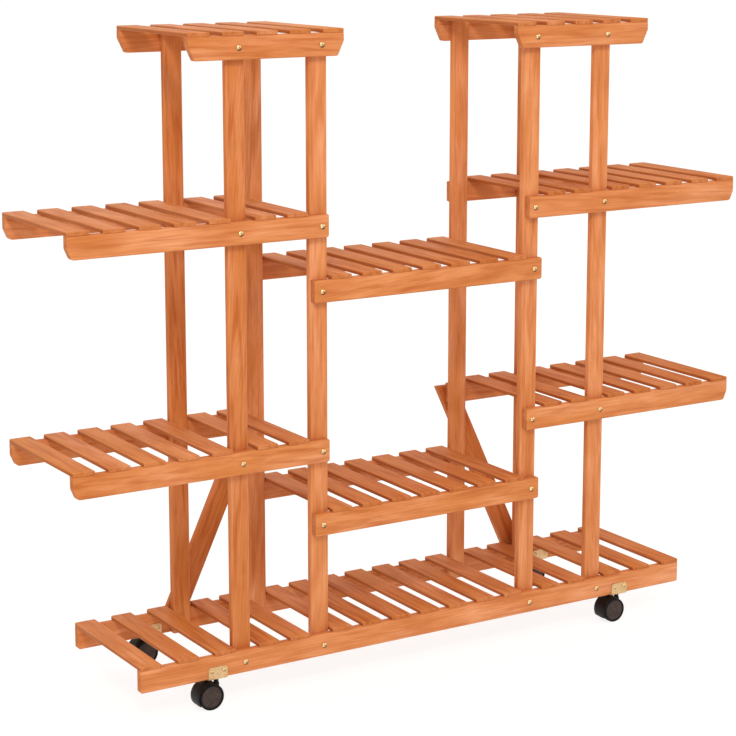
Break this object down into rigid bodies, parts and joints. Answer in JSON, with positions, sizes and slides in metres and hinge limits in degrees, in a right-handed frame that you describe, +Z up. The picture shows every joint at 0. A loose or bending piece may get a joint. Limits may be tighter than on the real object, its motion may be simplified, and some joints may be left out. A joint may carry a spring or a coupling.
{
  "type": "plant stand",
  "caption": "Wide stepped wooden plant stand with slatted shelves between upright posts, diagonal back braces and twin-wheel swivel casters.",
  "frame": {"origin": "centre of the bounding box's footprint, on the floor that the wheels stand on", "axes": "+X to the right along the stand's length, +Y from its front to its back, +Z up"},
  "size_m": [1.194, 0.2552, 0.9924],
  "materials": {
    "stained_fir": "planed softwood with an orange-brown stain and a thin satin clear coat",
    "yellow_zinc": "steel with pale yellow-passivated zinc plating",
    "bright_steel": "plain drawn steel wire and rod",
    "black_nylon_housing": "moulded black nylon with a fine satin texture",
    "black_nylon_wheel": "moulded black nylon, slightly worn on the tread"
  },
  "bodies": {
    "root": {"brace_left": "stained_fir", "brace_right": "stained_fir", "caster_saddles": "yellow_zinc", "caster_stems": "bright_steel", "frame_screws": "yellow_zinc", "post_left_inner_back": "stained_fir", "post_left_inner_front": "stained_fir", "post_left_outer_back": "stained_fir", "post_left_outer_front": "stained_fir", "post_right_inner_back": "stained_fir", "post_right_inner_front": "stained_fir", "post_right_outer_back": "stained_fir", "post_right_outer_front": "stained_fir", "rail_base_back": "stained_fir", "rail_base_front": "stained_fir", "rail_lower_centre_back": "stained_fir", "rail_lower_centre_front": "stained_fir", "rail_lower_left_back": "stained_fir", "rail_lower_left_front": "stained_fir", "rail_lower_right_back": "stained_fir", "rail_lower_right_front": "stained_fir", "rail_top_left_back": "stained_fir", "rail_top_left_front": "stained_fir", "rail_top_right_back": "stained_fir", "rail_top_right_front": "stained_fir", "rail_upper_centre_back": "stained_fir", "rail_upper_centre_front": "stained_fir", "rail_upper_left_back": "stained_fir", "rail_upper_left_front": "stained_fir", "rail_upper_right_back": "stained_fir", "rail_upper_right_front": "stained_fir", "saddle_screws": "yellow_zinc", "slat_pins": "bright_steel", "slats_base": "stained_fir", "slats_lower_centre": "stained_fir", "slats_lower_left": "stained_fir", "slats_lower_right": "stained_fir", "slats_top_left": "stained_fir", "slats_top_right": "stained_fir", "slats_upper_centre": "stained_fir", "slats_upper_left": "stained_fir", "slats_upper_right": "stained_fir"},
    "swivel_front_left": {"caster_hood_front_left": "black_nylon_housing", "caster_axle_front_left": "bright_steel"},
    "wheel_front_left_outer": {"wheel_front_left_outer": "black_nylon_wheel"},
    "wheel_front_left_inner": {"wheel_front_left_inner": "black_nylon_wheel"},
    "swivel_front_right": {"caster_hood_front_right": "black_nylon_housing", "caster_axle_front_right": "bright_steel"},
    "wheel_front_right_outer": {"wheel_front_right_outer": "black_nylon_wheel"},
    "wheel_front_right_inner": {"wheel_front_right_inner": "black_nylon_wheel"},
    "swivel_back_left": {"caster_hood_back_left": "black_nylon_housing", "caster_axle_back_left": "bright_steel"},
    "wheel_back_left_outer": {"wheel_back_left_outer": "black_nylon_wheel"},
    "wheel_back_left_inner": {"wheel_back_left_inner": "black_nylon_wheel"},
    "swivel_back_right": {"caster_hood_back_right": "black_nylon_housing", "caster_axle_back_right": "bright_steel"},
    "wheel_back_right_outer": {"wheel_back_right_outer": "black_nylon_wheel"},
    "wheel_back_right_inner": {"wheel_back_right_inner": "black_nylon_wheel"}
  },
  "joints": [
    {"name": "swivel_front_left", "type": "hinge", "parent": "root", "child": "swivel_front_left", "pos_m": [-0.37505, -0.11365, 0.035], "axis": [0, 0, 1], "continuous": true},
    {"name": "roll_front_left_outer", "type": "hinge", "parent": "swivel_front_left", "child": "wheel_front_left_outer", "pos_m": [-0.38855, -0.11365, 0.02], "axis": [0, 1, 0], "continuous": true},
    {"name": "roll_front_left_inner", "type": "hinge", "parent": "swivel_front_left", "child": "wheel_front_left_inner", "pos_m": [-0.38855, -0.11365, 0.02], "axis": [0, 1, 0], "continuous": true},
    {"name": "swivel_front_right", "type": "hinge", "parent": "root", "child": "swivel_front_right", "pos_m": [0.37505, -0.11365, 0.035], "axis": [0, 0, 1], "continuous": true},
    {"name": "roll_front_right_outer", "type": "hinge", "parent": "swivel_front_right", "child": "wheel_front_right_outer", "pos_m": [0.36155, -0.11365, 0.02], "axis": [0, 1, 0], "continuous": true},
    {"name": "roll_front_right_inner", "type": "hinge", "parent": "swivel_front_right", "child": "wheel_front_right_inner", "pos_m": [0.36155, -0.11365, 0.02], "axis": [0, 1, 0], "continuous": true},
    {"name": "swivel_back_left", "type": "hinge", "parent": "root", "child": "swivel_back_left", "pos_m": [-0.37505, 0.10695, 0.035], "axis": [0, 0, 1], "continuous": true},
    {"name": "roll_back_left_outer", "type": "hinge", "parent": "swivel_back_left", "child": "wheel_back_left_outer", "pos_m": [-0.38855, 0.10695, 0.02], "axis": [0, 1, 0], "continuous": true},
    {"name": "roll_back_left_inner", "type": "hinge", "parent": "swivel_back_left", "child": "wheel_back_left_inner", "pos_m": [-0.38855, 0.10695, 0.02], "axis": [0, 1, 0], "continuous": true},
    {"name": "swivel_back_right", "type": "hinge", "parent": "root", "child": "swivel_back_right", "pos_m": [0.37505, 0.10695, 0.035], "axis": [0, 0, 1], "continuous": true},
    {"name": "roll_back_right_outer", "type": "hinge", "parent": "swivel_back_right", "child": "wheel_back_right_outer", "pos_m": [0.36155, 0.10695, 0.02], "axis": [0, 1, 0], "continuous": true},
    {"name": "roll_back_right_inner", "type": "hinge", "parent": "swivel_back_right", "child": "wheel_back_right_inner", "pos_m": [0.36155, 0.10695, 0.02], "axis": [0, 1, 0], "continuous": true}
  ]
}
